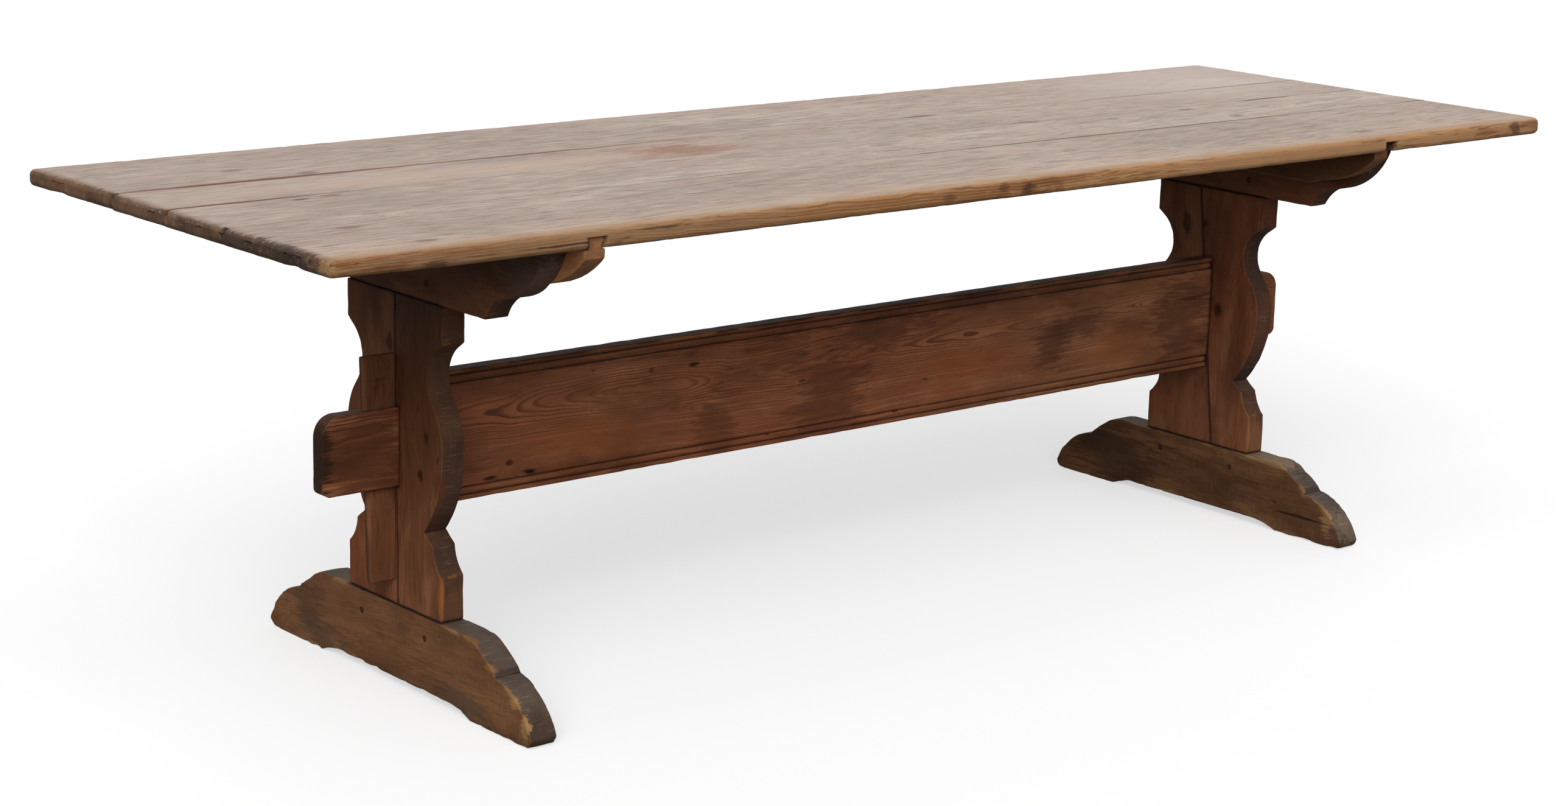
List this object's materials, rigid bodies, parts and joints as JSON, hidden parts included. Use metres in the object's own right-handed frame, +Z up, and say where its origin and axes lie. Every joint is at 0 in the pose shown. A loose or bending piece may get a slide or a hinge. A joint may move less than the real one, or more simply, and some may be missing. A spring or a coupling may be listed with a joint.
{
  "type": "trestle dining table",
  "caption": "Long plank-topped trestle table: baluster uprights on stepped feet, joined by a stretcher with wedged through tenons, under a top on sliding dovetail battens.",
  "frame": {"origin": "on the floor, under the middle of the top", "axes": "+X along the table, +Y to its back, +Z up"},
  "size_m": [2.55, 0.846, 0.76],
  "materials": {
    "top_pine": "scrubbed and worn",
    "batten_pine": "worn stain",
    "stained_pine": "dark stain, rubbed",
    "foot_pine": "worn dusty stain",
    "peg_wood": "dark stain"
  },
  "bodies": {
    "frame": {"left_bearer": "stained_pine", "right_bearer": "stained_pine", "left_upright_front_board": "stained_pine", "left_upright_back_board": "stained_pine", "right_upright_front_board": "stained_pine", "right_upright_back_board": "stained_pine", "stretcher": "stained_pine", "left_foot": "foot_pine", "right_foot": "foot_pine", "left_foot_pegs": "peg_wood", "right_foot_pegs": "peg_wood", "left_bearer_pegs": "peg_wood", "right_bearer_pegs": "peg_wood"},
    "top": {"top_plank_front": "top_pine", "top_plank_inner_front": "top_pine", "top_plank_inner_back": "top_pine", "top_plank_back": "top_pine"},
    "left_batten": {"left_batten": "batten_pine"},
    "right_batten": {"right_batten": "batten_pine"},
    "left_wedge": {"left_wedge": "stained_pine"},
    "right_wedge": {"right_wedge": "stained_pine"}
  },
  "joints": [
    {"name": "top_lift", "type": "slide", "parent": "frame", "child": "top", "axis": [0, 0, 1], "range_m": [0, 0.1]},
    {"name": "left_batten_slide", "type": "slide", "parent": "top", "child": "left_batten", "axis": [0, 1, 0], "range_m": [-0.3, 0.3]},
    {"name": "right_batten_slide", "type": "slide", "parent": "top", "child": "right_batten", "axis": [0, 1, 0], "range_m": [-0.3, 0.3]},
    {"name": "left_wedge_lift", "type": "slide", "parent": "frame", "child": "left_wedge", "axis": [0, 0, 1], "range_m": [0, 0.2]},
    {"name": "right_wedge_lift", "type": "slide", "parent": "frame", "child": "right_wedge", "axis": [0, 0, 1], "range_m": [0, 0.2]}
  ]
}
